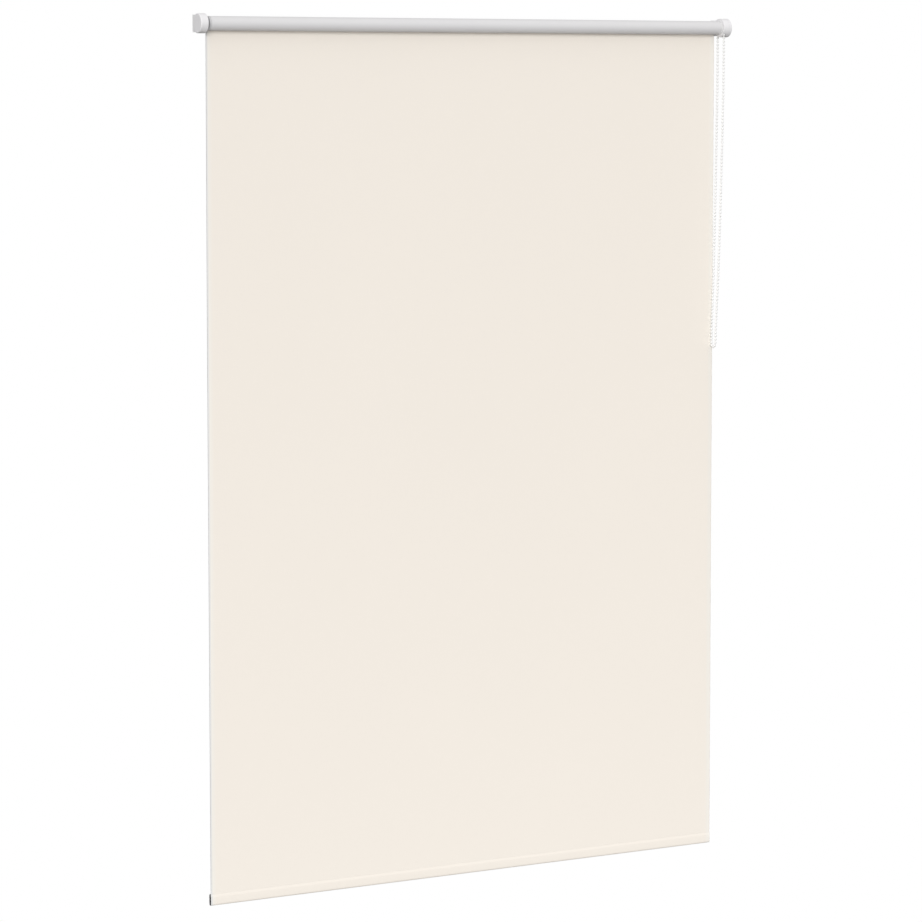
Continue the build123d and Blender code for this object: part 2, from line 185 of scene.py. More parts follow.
class Finish:
    """A material with one Principled shader, whose nodes are added by one method."""

    def __init__(self, name, **settings):
        self.material = bpy.data.materials.new(name)
        self.material.use_nodes = True
        self.tree = self.material.node_tree
        self.shader = self.tree.nodes["Principled BSDF"]
        for key, value in settings.items():
            self.shader.inputs[key.replace("_", " ").title()].default_value = value

    def add(self, kind, settings=None, values=None, output=0):
        """Adds a node of a kind, sets its settings, then gives its sockets values or links."""
        node = self.tree.nodes.new(kind)
        for key, value in (settings or {}).items():
            setattr(node, key, value)
        for key, value in (values or {}).items():
            if isinstance(value, Signal):
                self.tree.links.new(value.socket, node.inputs[key])
            else:
                node.inputs[key].default_value = value
        return Signal(self, node.outputs[output])

    def place(self):
        """The point's place on the object, in metres."""
        return self.add("ShaderNodeTexCoord", output="Object")

    def axes(self, vector):
        """The x, y and z of a vector."""
        first = self.add("ShaderNodeSeparateXYZ", values={0: vector})
        outputs = first.socket.node.outputs
        return first, Signal(self, outputs[1]), Signal(self, outputs[2])

    def noise(self, vector, scale, detail=3.0, stretch=(1, 1, 1)):
        """Soft noise from 0 to 1; scale is in features per metre.

        An axis whose stretch is below 1 has its features drawn out along it.
        """
        placed = self.add("ShaderNodeMapping", values={"Vector": vector, "Scale": stretch})
        values = {"Vector": placed, "Scale": scale, "Detail": detail, "Roughness": NOISE_ROUGHNESS}
        return self.add("ShaderNodeTexNoise", values=values)

    def mix(self, share, first, second):
        """The second colour laid over the first by share."""
        return self.add("ShaderNodeMix", {"data_type": "RGBA"}, {0: share, 6: first, 7: second}, 2)

    def give(self, socket, signal):
        """Feeds one socket of the shader."""
        self.tree.links.new(signal.socket, self.shader.inputs[socket])

    def raise_by(self, height, distance, strength=1.0):
        """Bumps the surface by height, from 0 to 1, times distance in metres."""
        values = {"Height": height, "Distance": distance, "Strength": strength}
        self.give("Normal", self.add("ShaderNodeBump", values=values))


def shade(colour, factor):
    """A colour made lighter or darker by factor, with alpha 1."""
    return tuple(min(1.0, channel * factor) for channel in colour[:3]) + (1.0,)


print("shader maths ready")

# %% [markdown]
# ## Surfaces from grids
# A shape is a function of two parameters, worked out for a whole grid of points at once. The grid
# becomes quads, and a grid may be closed along either parameter. A tube is a ring carried along a
# path, and needs a frame at each point that doesn't spin: the side vector is kept square to the
# path, starting from one fixed direction.


# %% Turn grids into meshes
def grid_quads(rows, columns, close_rows=False, close_columns=False, first=0):
    """The quads of a grid of points, as corner numbers, row by row."""
    row = np.arange(rows if close_rows else rows - 1)[:, None]
    column = np.arange(columns if close_columns else columns - 1)[None, :]
    next_row, next_column = (row + 1) % rows, (column + 1) % columns
    corners = [
        row * columns + column,
        row * columns + next_column,
        next_row * columns + next_column,
        next_row * columns + column,
    ]
    return first + np.stack([c.reshape(-1) for c in np.broadcast_arrays(*corners)], axis=1)


def make_piece(name, points, faces, material, smooth=True):
    """A mesh object at the origin from points and a list of face arrays."""
    mesh = bpy.data.meshes.new(name)
    corner_lists = [face for part in faces for face in part.tolist()]
    mesh.from_pydata(points.reshape(-1, 3).tolist(), [], corner_lists)
    mesh.polygons.foreach_set("use_smooth", np.full(len(mesh.polygons), smooth))
    mesh.materials.append(material)
    mesh.update()
    piece = bpy.data.objects.new(name, mesh)
    bpy.context.scene.collection.objects.link(piece)
    print(name, len(mesh.polygons), "faces")
    return piece


def tangents_along(path):
    """The direction of a path at each of its points, one unit long."""
    tangent = np.gradient(path, axis=0)
    return tangent / np.linalg.norm(tangent, axis=1)[:, None]


def square_to(tangent):
    """Side and up for each tangent: side is the x axis less its share along the tangent."""
    fixed = np.array([1.0, 0.0, 0.0])
    side = fixed - (tangent @ fixed)[:, None] * tangent
    side /= np.linalg.norm(side, axis=1)[:, None]
    return side, np.cross(tangent, side)


def tube_grid(path, radius, around):
    """Rings of a radius round a path: centre + radius (cos a side + sin a up)."""
    side, up = square_to(tangents_along(path))
    angle = np.linspace(0, 2 * pi, around, endpoint=False)
    ring = np.cos(angle)[None, :, None] * side[:, None] + np.sin(angle)[None, :, None] * up[:, None]
    return path[:, None] + radius * ring


def tube_faces(rings, around, first=0):
    """The quads of a tube and one face at each of its ends."""
    start = (first + np.arange(around))[None, ::-1]
    end = (first + (rings - 1) * around + np.arange(around))[None, :]
    return [grid_quads(rings, around, close_columns=True, first=first), start, end]


print("grid helpers ready")

# %% [markdown]
# ## Light
# The blind hangs in soft daylight that is much stronger from above than from below, as it is in a
# room, so the roll is bright on top and dark underneath. The world's strength follows the height of
# the direction that light comes from, and the camera itself sees plain white. One soft lamp from
# the front left lights the cloth. It is a sun, so that it lights every part of the blind alike.

# %% Light the blind
LIGHT_ABOVE = 0.73
LIGHT_BELOW = 0.05
DARKEST_HEIGHT = -0.5
BRIGHTEST_HEIGHT = 0.3
WORLD_SEEN = 1.0
LAMP_DIRECTION = (0.50, 0.84, -0.13)
LAMP_STRENGTH = 2.02
LAMP_SPREAD = radians(30)

scene = bpy.context.scene
scene.view_settings.view_transform = "Standard"
scene.world = bpy.data.worlds.new("daylight")
scene.world.use_nodes = True
world_tree = scene.world.node_tree
background = world_tree.nodes["Background"]
background.inputs["Color"].default_value = (1.0, 1.0, 1.0, 1.0)
direction = world_tree.nodes.new("ShaderNodeTexCoord")
split = world_tree.nodes.new("ShaderNodeSeparateXYZ")
daylight = world_tree.nodes.new("ShaderNodeMapRange")
daylight.interpolation_type = "SMOOTHSTEP"
daylight.inputs["From Min"].default_value = DARKEST_HEIGHT
daylight.inputs["From Max"].default_value = BRIGHTEST_HEIGHT
daylight.inputs["To Min"].default_value = LIGHT_BELOW
daylight.inputs["To Max"].default_value = LIGHT_ABOVE
light_path = world_tree.nodes.new("ShaderNodeLightPath")
strength = world_tree.nodes.new("ShaderNodeMix")
strength.inputs["B"].default_value = WORLD_SEEN
world_tree.links.new(direction.outputs["Generated"], split.inputs[0])
world_tree.links.new(split.outputs["Z"], daylight.inputs["Value"])
world_tree.links.new(daylight.outputs["Result"], strength.inputs["A"])
world_tree.links.new(light_path.outputs["Is Camera Ray"], strength.inputs["Factor"])
world_tree.links.new(strength.outputs["Result"], background.inputs["Strength"])

lamp_data = bpy.data.lights.new("front_light", "SUN")
lamp_data.energy = LAMP_STRENGTH
lamp_data.angle = LAMP_SPREAD
lamp = bpy.data.objects.new("front_light", lamp_data)
lamp.rotation_mode = "QUATERNION"
lamp.rotation_quaternion = Vector(LAMP_DIRECTION).to_track_quat("-Z", "Y")
scene.collection.objects.link(lamp)
print("lamp", lamp.name, "at strength", lamp_data.energy)

# %% [markdown]
# ## Floor
# A blind hangs on a wall, so its floor lies well below it. It is one flat round face, only a little
# wider than the view needs, because a wide floor would show its far edge behind the blind.

# %% Lay the floor
FLOOR_DROP = 1.5
FLOOR_RADIUS = 2.3
FLOOR_CORNERS = 96
FLOOR_COLOUR = (0.45, 0.45, 0.446)

middle = (cad_low + cad_high) / 2
floor_finish = Finish("floor_paint", roughness=0.9)
floor_finish.shader.inputs["Base Color"].default_value = (*FLOOR_COLOUR, 1.0)
floor_angle = np.linspace(0, 2 * pi, FLOOR_CORNERS, endpoint=False)
floor_ring = FLOOR_RADIUS * np.stack(
    [np.cos(floor_angle), np.sin(floor_angle), 0 * floor_angle], axis=1
)
floor_points = floor_ring + np.array([middle.x, middle.y, cad_low.z - FLOOR_DROP])
floor_face = [np.arange(FLOOR_CORNERS)[None, :]]
floor = make_piece("floor", floor_points, floor_face, floor_finish.material, False)

# %% [markdown]
# ## Bead chain
# The chain is one endless loop of moulded beads on a thin cord. It hangs freely from the wheel. Its
# two strands keep a slight set from the packing, so they drift a little to one side on their way
# down, and they meet in a small round turn. Beads and cord are the same pale plastic, but the beads
# are glossy, and the cord shows a fine slanting braid.

# %% Chain finishes
BEAD_COLOUR = (0.90, 0.895, 0.885)
CORD_COLOUR = (0.87, 0.865, 0.855)
BEAD_CLOUD = 260.0
BEAD_GRAIN = 1800.0
BRAID_PITCH = 0.0011
BRAID_SLANT = 4200.0
BEAD_GRAIN_HEIGHT = 0.00002
BRAID_HEIGHT = 0.00006

bead_finish = Finish("chain_beads_plastic", roughness=0.28, coat_weight=0.25, coat_roughness=0.15)
bead_place = bead_finish.place()
bead_tone = bead_finish.noise(bead_place, BEAD_CLOUD)
bead_cloud = bead_finish.mix(bead_tone, shade(BEAD_COLOUR, 0.95), shade(BEAD_COLOUR, 1.05))
bead_finish.give("Base Color", bead_cloud)
bead_finish.give("Roughness", bead_tone * 0.18 + 0.2)
bead_finish.raise_by(bead_finish.noise(bead_place, BEAD_GRAIN), BEAD_GRAIN_HEIGHT)

cord_finish = Finish("chain_cord_braid", roughness=0.75)
_, cord_y, cord_z = cord_finish.axes(cord_finish.place())
cord_braid = (cord_z * (2 * pi / BRAID_PITCH) + cord_y * BRAID_SLANT).sine() * 0.5 + 0.5
cord_tone = cord_finish.mix(cord_braid, shade(CORD_COLOUR, 0.86), shade(CORD_COLOUR, 1.06))
cord_finish.give("Base Color", cord_tone)
cord_finish.raise_by(cord_braid, BRAID_HEIGHT)
print("chain finishes ready")

# %% [markdown]
# The cord is a smooth spline with a short list of control points, which are measured from the
# wheel's centre. Its ends are the two exits of the housing. The line it follows is then read back
# as a row of points, so that the beads can be set along it at the pitch of the wheel's pockets.

# %% Hang the cord
PITCH_RADIUS = 0.009708
CORD_DIAMETER = 0.0013
CORD_SMOOTHNESS = 14
CORD_ORDER = 3
CHAIN_ROUTE = [
    (0.0, -PITCH_RADIUS, -0.0130),
    (0.0, -PITCH_RADIUS, -0.0420),
    (-0.0002, -0.0096, -0.0840),
    (-0.0007, -0.0094, -0.1320),
    (-0.0015, -0.0093, -0.1860),
    (-0.0026, -0.0088, -0.2410),
    (-0.0036, -0.0085, -0.2960),
    (-0.0049, -0.0080, -0.3500),
    (-0.0059, -0.0073, -0.4010),
    (-0.0072, -0.0066, -0.4470),
    (-0.0086, -0.0056, -0.4870),
    (-0.0097, -0.0049, -0.5210),
    (-0.0104, -0.0045, -0.5410),
    (-0.0107, -0.0046, -0.5595),
    (-0.0109, -0.0043, -0.5692),
    (-0.0110, -0.0005, -0.5733),
    (-0.0110, 0.0050, -0.5731),
    (-0.0109, 0.0088, -0.5690),
    (-0.0106, 0.0089, -0.5590),
    (-0.0103, 0.0088, -0.5400),
    (-0.0094, 0.0087, -0.5140),
    (-0.0082, 0.0089, -0.4780),
    (-0.0067, 0.0088, -0.4320),
    (-0.0053, 0.0090, -0.3800),
    (-0.0042, 0.0092, -0.3260),
    (-0.0029, 0.0093, -0.2700),
    (-0.0019, 0.0095, -0.2140),
    (-0.0010, 0.0094, -0.1600),
    (-0.0004, 0.0096, -0.1080),
    (-0.0001, 0.0096, -0.0570),
    (0.0, PITCH_RADIUS, -0.0130),
]


def hang_cord(name, route, diameter, material):
    """A smooth cord: one open spline with the route's points as its control points."""
    data = bpy.data.curves.new(name, "CURVE")
    data.dimensions = "3D"
    data.resolution_u = CORD_SMOOTHNESS
    data.bevel_depth = diameter / 2
    data.bevel_resolution = 2
    data.use_fill_caps = True
    spline = data.splines.new("NURBS")
    spline.points.add(len(route) - 1)
    for point, (x, y, z) in zip(spline.points, route):
        point.co = (wheel_x + x, axis_y + y, z, 1.0)
    spline.order_u = CORD_ORDER
    spline.use_endpoint_u = True
    data.materials.append(material)
    cord = bpy.data.objects.new(name, data)
    scene.collection.objects.link(cord)
    return cord


def line_of(cord):
    """The points of a cord's own spline: its mesh when it has no thickness."""
    thickness, cord.data.bevel_depth = cord.data.bevel_depth, 0.0
    bpy.context.view_layer.update()
    evaluated = cord.evaluated_get(bpy.context.evaluated_depsgraph_get())
    mesh = bpy.data.meshes.new_from_object(evaluated)
    cord.data.bevel_depth = thickness
    points = np.zeros(len(mesh.vertices) * 3)
    mesh.vertices.foreach_get("co", points)
    bpy.data.meshes.remove(mesh)
    return points.reshape(-1, 3)


chain_cord = hang_cord("chain_cord", CHAIN_ROUTE, CORD_DIAMETER, cord_finish.material)
chain_line = line_of(chain_cord)
steps = np.linalg.norm(np.diff(chain_line, axis=0), axis=1)
along = np.concatenate([[0], np.cumsum(steps)])
chain_length = along[-1]
print("free chain", round(chain_length, 4), "m long")

# %% [markdown]
# Each bead is a small ball with its poles on the cord. Two hundred of them are seen from metres
# away, so each has only a few dozen faces, and smooth shading does the rest.

# %% Thread the beads
BEAD_RADIUS = 0.00225
BEAD_PITCH = 0.006
FIRST_BEAD = 0.005
BEAD_RINGS = 6
BEAD_AROUND = 10
BEAD_POLE_CUT = 0.12


def bead_grid(centres, tangents):
    """Balls round the centres: centre + r (cos v tangent + sin v (cos a side + sin a up)).

    The angle v stops short of both poles, where a small flat cap closes the ball.
    """
    side, up = square_to(tangents)
    polar = np.linspace(BEAD_POLE_CUT, pi - BEAD_POLE_CUT, BEAD_RINGS)[None, :, None, None]
    angle = np.linspace(0, 2 * pi, BEAD_AROUND, endpoint=False)[None, None, :, None]
    out = np.cos(angle) * side[:, None, None] + np.sin(angle) * up[:, None, None]
    ball = np.cos(polar) * tangents[:, None, None] + np.sin(polar) * out
    return centres[:, None, None] + BEAD_RADIUS * ball


def bead_faces(count):
    """The quads and the two pole caps of every bead."""
    parts = []
    for bead in range(count):
        parts += tube_faces(BEAD_RINGS, BEAD_AROUND, bead * BEAD_RINGS * BEAD_AROUND)
    return [part[:, ::-1] for part in parts]


bead_count = round((chain_length - 2 * FIRST_BEAD) / BEAD_PITCH) + 1
bead_at = np.linspace(FIRST_BEAD, chain_length - FIRST_BEAD, bead_count)
bead_centres = np.stack([np.interp(bead_at, along, chain_line[:, i]) for i in range(3)], axis=1)
chain_beads = make_piece(
    "chain_beads",
    bead_grid(bead_centres, tangents_along(bead_centres)),
    bead_faces(bead_count),
    bead_finish.material,
)
print(bead_count, "beads", round(1000 * (bead_at[1] - bead_at[0]), 3), "mm apart")

# %% [markdown]
# Inside the housing the chain lies over the top half of the wheel, one bead in each pocket, and
# drops straight to the two exits. The pockets are a tenth of a turn apart.

# %% Lay the chain over the wheel
WHEEL_POCKETS = 10
EXIT_DEPTH = 0.013
ARC_POINTS = 41
DROP_POINTS = 6
CORD_AROUND = 10
WHEEL_CENTRE = np.array([wheel_x, axis_y, 0])
DOWN = np.array([0, 0, -1.0])


def over_wheel(angle):
    """Points of the pitch circle's plane, measured from the wheel's centre."""
    return np.stack([0 * angle, PITCH_RADIUS * np.cos(angle), PITCH_RADIUS * np.sin(angle)], 1)


arc = over_wheel(np.linspace(pi, 0, ARC_POINTS))
drop = np.linspace(0, EXIT_DEPTH, DROP_POINTS)[1:, None] * DOWN
wheel_path = np.concatenate([(arc[0] + drop)[::-1], arc, arc[-1] + drop])
wheel_path += WHEEL_CENTRE
pocket_angle = np.linspace(pi, 0, WHEEL_POCKETS // 2 + 1)
pocket_along = np.stack([0 * pocket_angle, np.sin(pocket_angle), -np.cos(pocket_angle)], 1)
hanging = np.array(
    [[0, y, -z] for y in (-PITCH_RADIUS, PITCH_RADIUS) for z in (BEAD_PITCH, 2 * BEAD_PITCH)]
)
wheel_centres = np.concatenate([over_wheel(pocket_angle), hanging]) + WHEEL_CENTRE
wheel_tangents = np.concatenate([pocket_along, np.tile(DOWN, (len(hanging), 1))])
chain_over_wheel_cord = make_piece(
    "chain_over_wheel_cord",
    tube_grid(wheel_path, CORD_DIAMETER / 2, CORD_AROUND),
    [part[:, ::-1] for part in tube_faces(len(wheel_path), CORD_AROUND)],
    cord_finish.material,
)
chain_over_wheel_beads = make_piece(
    "chain_over_wheel_beads",
    bead_grid(wheel_centres, wheel_tangents),
    bead_faces(len(wheel_centres)),
    bead_finish.material,
)
for piece in (chain_cord, chain_beads, chain_over_wheel_cord, chain_over_wheel_beads):
    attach(piece, "root")
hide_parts("chain_loop")
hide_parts("chain_on_wheel")

# %% [markdown]
# ## Cloth finishes
# Blind cloth is a tight plain weave of polyester. Its room side is cream, and its wall side has a
# pale grey coating, which is what shows on the roll, because the cloth winds over the back. Towards
# both side edges the face is painted a little paler, painted light for the curled-back edges. Along
# the left edge a narrow band is painted greyer, painted shade for the curled-back edge, and the
# band is also made smoother.

# %% Cream face and coated back
FACE_COLOUR = (0.885, 0.825, 0.748)
EDGE_LIGHT_COLOUR = (0.87, 0.845, 0.79)
EDGE_SHADE_COLOUR = (0.775, 0.77, 0.755)
BACK_COLOUR = (0.688, 0.680, 0.686)
WEAVE_PITCH = 0.00042
WEAVE_HEIGHT = 0.00006
COAT_HEIGHT = 0.00003
THREAD_NOISE = 900.0
THREAD_STRETCH = 0.05
CLOTH_CLOUD = 3.5
COAT_CLOUD = 45.0
COAT_SPECKLE = 1500.0
EDGE_SHADE_BAND = 0.0032
EDGE_SHADE_SOFTNESS = 0.0008
EDGE_LIGHT_BAND = 0.008
EDGE_LIGHT_SHARE = 0.6


def weave(finish, across, along_cloth):
    """Height of a plain weave: the product of two sine waves, one along each set of threads."""
    turn = 2 * pi / WEAVE_PITCH
    return (across * turn).sine() * (along_cloth * turn).sine() * 0.5 + 0.5


def cloth_face():
    """Cream woven face with uneven threads, sides painted paler as painted light, and a band of
    painted shade along the left edge.
    """
    finish = Finish("cloth_face", roughness=0.86, sheen_weight=0.08, sheen_roughness=0.5)
    place = finish.place()
    x, _, z = finish.axes(place)
    threads = weave(finish, x, z)
    slubs = finish.noise(place, THREAD_NOISE, 2.0, (1.0, 1.0, THREAD_STRETCH))
    picks = finish.noise(place, THREAD_NOISE, 2.0, (THREAD_STRETCH, 1.0, 1.0))
    cloud = finish.noise(place, CLOTH_CLOUD, 3.0)
    tone = (slubs + picks) * 0.35 + cloud * 0.3
    cloth = finish.mix(tone, shade(FACE_COLOUR, 0.972), shade(FACE_COLOUR, 1.022))
    cloth = finish.mix(threads * 0.25, cloth, shade(FACE_COLOUR, 0.96))
    # painted light: the face is painted paler towards both side edges, standing in for the light on
    # the curled-back edges
    from_middle = abs(x - (cloth_left + cloth_right) / 2)
    painted_edge_light = from_middle.above(cloth_width / 2 - EDGE_LIGHT_BAND, EDGE_LIGHT_BAND) * EDGE_LIGHT_SHARE
    cloth = finish.mix(painted_edge_light, cloth, (*EDGE_LIGHT_COLOUR, 1.0))
    # painted shade: a grey band along the left edge stands in for the shade on the curled-back edge
    left_edge_shade = 1.0 - x.above(cloth_left + EDGE_SHADE_BAND, EDGE_SHADE_SOFTNESS)
    finish.give("Base Color", finish.mix(left_edge_shade, cloth, (*EDGE_SHADE_COLOUR, 1.0)))
    finish.give("Roughness", 0.88 - left_edge_shade * 0.2)
    finish.raise_by(threads * 0.7 + (slubs + picks) * 0.25, WEAVE_HEIGHT, 0.6)
    return finish.material


def cloth_back():
    """Pale grey coated side: the weave shows faintly through a smooth layer."""
    finish = Finish("cloth_back", roughness=0.62)
    place = finish.place()
    x, _, z = finish.axes(place)
    coat = finish.noise(place, COAT_CLOUD, 4.0)
    speckle = finish.noise(place, COAT_SPECKLE, 1.0)
    tone = coat * 0.55 + speckle * 0.45
    coated = finish.mix(tone, shade(BACK_COLOUR, 0.975), shade(BACK_COLOUR, 1.025))
    finish.give("Base Color", coated)
    finish.give("Roughness", tone * 0.14 + 0.54)
    finish.raise_by(weave(finish, x, z) * 0.5 + speckle * 0.5, COAT_HEIGHT, 0.5)
    return finish.material


face_material = cloth_face()
back_material = cloth_back()
print("cloth finishes ready")

# %% [markdown]
# ## Cloth with a thickness
# All three cloth pieces, the hanging panel, the roll and the hem, are the same cloth, so one
# function makes them. It takes the middle of the cloth as a grid, moves it half a thickness to
# each side along the surface's normal, and closes the four edges. The room side gets the cream
# face, and the wall side and the cut edges get the coating. The two sides are smooth and the edges
# are flat, and a narrow border of points inside each edge keeps that smoothness from bending it.

# %% Give a sheet its two sides
BORDER = 0.0002


def add_borders(grid):
    """Adds a row and a column of points just inside each edge, which keeps the edges crisp."""
    for axis in (0, 1):
        grid = np.moveaxis(grid, axis, 0)
        start, end = grid[1] - grid[0], grid[-2] - grid[-1]
        start = grid[0] + BORDER * start / np.linalg.norm(start, axis=1)[:, None]
        end = grid[-1] + BORDER * end / np.linalg.norm(end, axis=1)[:, None]
        grid = np.concatenate([grid[:1], start[None], grid[1:-1], end[None], grid[-1:]])
        grid = np.moveaxis(grid, 0, axis)
    return grid


def cloth_piece(name, middle_grid, thickness):
    """A closed sheet: middle + and - half the thickness along the grid's normal, with its rim."""
    middle_grid = add_borders(middle_grid)
    rows, columns = middle_grid.shape[:2]
    down = np.gradient(middle_grid, axis=0)
    over = np.gradient(middle_grid, axis=1)
    normal = np.cross(over, down)
    normal /= np.linalg.norm(normal, axis=2)[:, :, None]
    face = middle_grid - normal * thickness / 2
    back = middle_grid + normal * thickness / 2
    count = rows * columns
    face_quads = grid_quads(rows, columns)
    number = np.arange(count).reshape(rows, columns)
    edge = np.concatenate([number[0, :], number[1:, -1], number[-1, -2::-1], number[-2:0:-1, 0]])
    ahead = np.roll(edge, -1)
    rim = np.stack([edge, edge + count, ahead + count, ahead], axis=1)
    points = np.concatenate([face.reshape(-1, 3), back.reshape(-1, 3)])
    faces = [face_quads[:, ::-1], face_quads + count, rim[:, ::-1]]
    piece = make_piece(name, points, faces, face_material)
    piece.data.materials.append(back_material)
    slots = np.concatenate([np.zeros(len(face_quads)), np.ones(len(face_quads) + len(rim))])
    piece.data.polygons.foreach_set("material_index", slots.astype(np.int32))
    piece.data.polygons.foreach_set("use_smooth", np.arange(len(slots)) < 2 * len(face_quads))
    piece.data.update()
    return piece


print("sheets have a border of", BORDER, "m")

# %% [markdown]
# ## Hanging panel
# The panel leaves the back of the roll and hangs to the hem. The roll and the bar hold its ends
# straight, and between them real cloth is never quite flat: it sways by less than a millimetre,
# and its side edges curl back a little.

# %% Hang the panel
PANEL_COLUMNS = 140
PANEL_ROWS = 180
SWAY = 0.0006
EDGE_CURL = 0.0007
EDGE_CURL_WIDTH = 0.012
HELD_FLAT = 1.6
WAVES = (  # height, turns across, turns down, start
    (1.0, 1.3, 0.4, 0.6),
    (0.6, 2.1, -0.9, 2.0),
    (0.4, 0.5, 1.7, 4.1),
)


def panel_grid(top, bottom):
    """The flat panel pushed back and forth by three long waves that fade out at both ends.

    The fading is a half sine down the panel, raised to a power. The side edges lean towards the
    wall by the square of how far a point is into the curl. The columns of points stand closer
    together near the sides, where the curl is.
    """
    u = np.linspace(0, 1, PANEL_COLUMNS)
    u = 0.5 - 0.5 * np.cos(pi * u) * (0.75 + 0.25 * np.cos(pi * u) ** 2)
    x = cloth_left + cloth_width * u[None, :]
    v = np.linspace(0, 1, PANEL_ROWS)[:, None]
    held = np.sin(pi * v) ** HELD_FLAT
    waves = 0.0
    for height, across, down, start in WAVES:
        waves = waves + height * np.sin(2 * pi * (across * u[None, :] + down * v) + start)
    from_edge = np.minimum(x - cloth_left, cloth_right - x)
    into_curl = np.clip(1 - from_edge / EDGE_CURL_WIDTH, 0, 1)
    y = cloth_y + held * (SWAY * waves / 2 + EDGE_CURL * into_curl**2)
    z = top + (bottom - top) * v
    return np.stack(np.broadcast_arrays(x, y, z), axis=2)


panel_top = 0.0
panel_bottom = pocket_high.z
blind_panel = cloth_piece("blind_panel", panel_grid(panel_top, panel_bottom), cloth_thickness)
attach(blind_panel, "root")
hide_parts("fabric_panel")

# %% [markdown]
# ## Cloth on the roll
# The cloth is fixed along the tube and goes once round it before it leaves the back of the roll,
# so the roll's ends show a spiral. Over that turn the middle of the cloth comes in by a thickness,
# and the cloth is drawn very slightly thinner than it is, so that its ends don't touch.

# %% Wind the roll
ROLL_STEPS = 120
ROLL_COLUMNS = 60
LAYER_GAP = 0.00002
wound_thickness = cloth_thickness - LAYER_GAP


def roll_grid():
    """A spiral round the axis: radius = outer middle - thickness x turns, from the back upwards."""
    turns = np.linspace(0, 1, ROLL_STEPS)[:, None]
    angle = 2 * pi * turns
    radius = roll_radius - cloth_thickness / 2 - cloth_thickness * turns
    x = np.linspace(cloth_left, cloth_right, ROLL_COLUMNS)[None, :]
    y = axis_y + radius * np.cos(angle)
    z = radius * np.sin(angle)
    return np.stack(np.broadcast_arrays(x, y, z), axis=2)[::-1]


wound_cloth = cloth_piece("wound_cloth", roll_grid(), wound_thickness)
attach(wound_cloth, "roller")
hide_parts("fabric_wraps")

# %% [markdown]
# ## Hem
# At the bottom the cloth folds back round a flat-oval bar and is welded to itself, which makes a
# pocket that is open at both ends. The section is drawn once, as arcs and straights round the bar,
# and carried across the whole width. The ease that brings the cloth forward round the bar belongs
# to the hem and not to the panel.

# %% Fold the hem round its bar
FOLD_TOP_ANGLE = radians(70)
FRONT_EASE = 0.006
FLAP = 0.002
WELD_GAP = 0.00015
HEM_COLUMNS = 80
EASE_POINTS = 13
BOTTOM_POINTS = 17
SHOULDER_POINTS = 9
pocket_middle = (pocket_low.y + pocket_high.y) / 2
fold_radius = (pocket_high.y - pocket_low.y - cloth_thickness) / 2
hem_front = pocket_middle - fold_radius


def hem_section():
    """The folded cloth's middle line in the y-z plane, from the front, round the bar, to the flap.

    It eases forward on a half cosine to clear the bar, goes round a half circle under the bar, up
    the back, round the bar's shoulder to the cloth's back, and ends in the welded flap.
    """
    low_z = pocket_low.z + cloth_thickness / 2 + fold_radius
    high_z = pocket_high.z - cloth_thickness / 2 - fold_radius
    u = np.linspace(0, 1, EASE_POINTS)[:, None]
    ease = cloth_y + (hem_front - cloth_y) * (1 - np.cos(pi * u)) / 2
    front = np.hstack([ease, pocket_high.z - FRONT_EASE * u])
    under = pi + pi * np.linspace(0, 1, BOTTOM_POINTS)[:, None]
    over = FOLD_TOP_ANGLE * np.linspace(0, 1, SHOULDER_POINTS)[:, None]
    bottom = [pocket_middle, low_z] + fold_radius * np.hstack([np.cos(under), np.sin(under)])
    shoulder = [pocket_middle, high_z] + fold_radius * np.hstack([np.cos(over), np.sin(over)])
    joined_y = cloth_y + cloth_thickness + WELD_GAP
    last_y, last_z = shoulder[-1]
    weld_z = last_z + (last_y - joined_y) * cos(FOLD_TOP_ANGLE) / sin(FOLD_TOP_ANGLE)
    flap = np.array([[joined_y, weld_z], [joined_y, weld_z + FLAP]])
    return np.concatenate([front, bottom, shoulder, flap])


section = hem_section()
hem_x = np.linspace(cloth_left, cloth_right, HEM_COLUMNS)
hem_grid = np.stack(
    np.broadcast_arrays(hem_x[None, :], section[:, :1], section[:, 1:]),
    axis=2,
)
hem_fold = cloth_piece("hem_fold", hem_grid, cloth_thickness)
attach(hem_fold, "hem")
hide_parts("hem_pocket")

# %% [markdown]
# ## Cut size of the panel
# The panel's cut is its drop. The share of it that is left when the hem rises by the travel of its
# joint is worked out, and the panel gets a mesh of its own.

# %% Work out the panel's cut
panel_cut = panel_top - panel_bottom

lift = travel_of("hem_lift")
(panel_cut - lift) / panel_cut
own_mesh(blind_panel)

# %% [markdown]
# ## Wire springs
# CAD holds each spring as a plain solid, and here they are wound from wire. Hard-drawn wire has
# fine lines along it, which show as small changes in brightness.

# %% Spring steel
DARK_STEEL = (0.33, 0.33, 0.35, 1.0)
BRIGHT_STEEL = (0.52, 0.52, 0.53, 1.0)
DRAWN_NOISE = 2200.0
DRAWN_HEIGHT = 0.00001

spring_finish = Finish("spring_steel", metallic=1.0, roughness=0.32)
drawn = spring_finish.noise(spring_finish.place(), DRAWN_NOISE, 2.0, (0.2, 1.0, 1.0))
spring_finish.give("Base Color", spring_finish.mix(drawn, DARK_STEEL, BRIGHT_STEEL))
spring_finish.give("Roughness", drawn * 0.2 + 0.24)
spring_finish.raise_by(drawn, DRAWN_HEIGHT)
print("spring steel ready")


# %% [markdown]
# A helix is a circle whose centre advances along the roller as the point goes round. The spring
# behind the idle pin is an open one.

# %% Wind the idle spring
def helix(start_x, length, radius, turns, steps_per_turn=28):
    """A helix on the roller's axis: x advances evenly while the point circles at a radius."""
    t = np.linspace(0, 1, int(turns * steps_per_turn) + 1)
    angle = 2 * pi * turns * t
    return np.stack(
        [start_x + length * t, axis_y + radius * np.sin(angle), radius * np.cos(angle)], axis=1
    )


def wire(name, path, radius, around=8):
    """A closed wire along a path, with its side vector kept along the roller's axis."""
    grid = tube_grid(path, radius, around)
    faces = [part[:, ::-1] for part in tube_faces(len(path), around)]
    return make_piece(name, grid, faces, spring_finish.material)


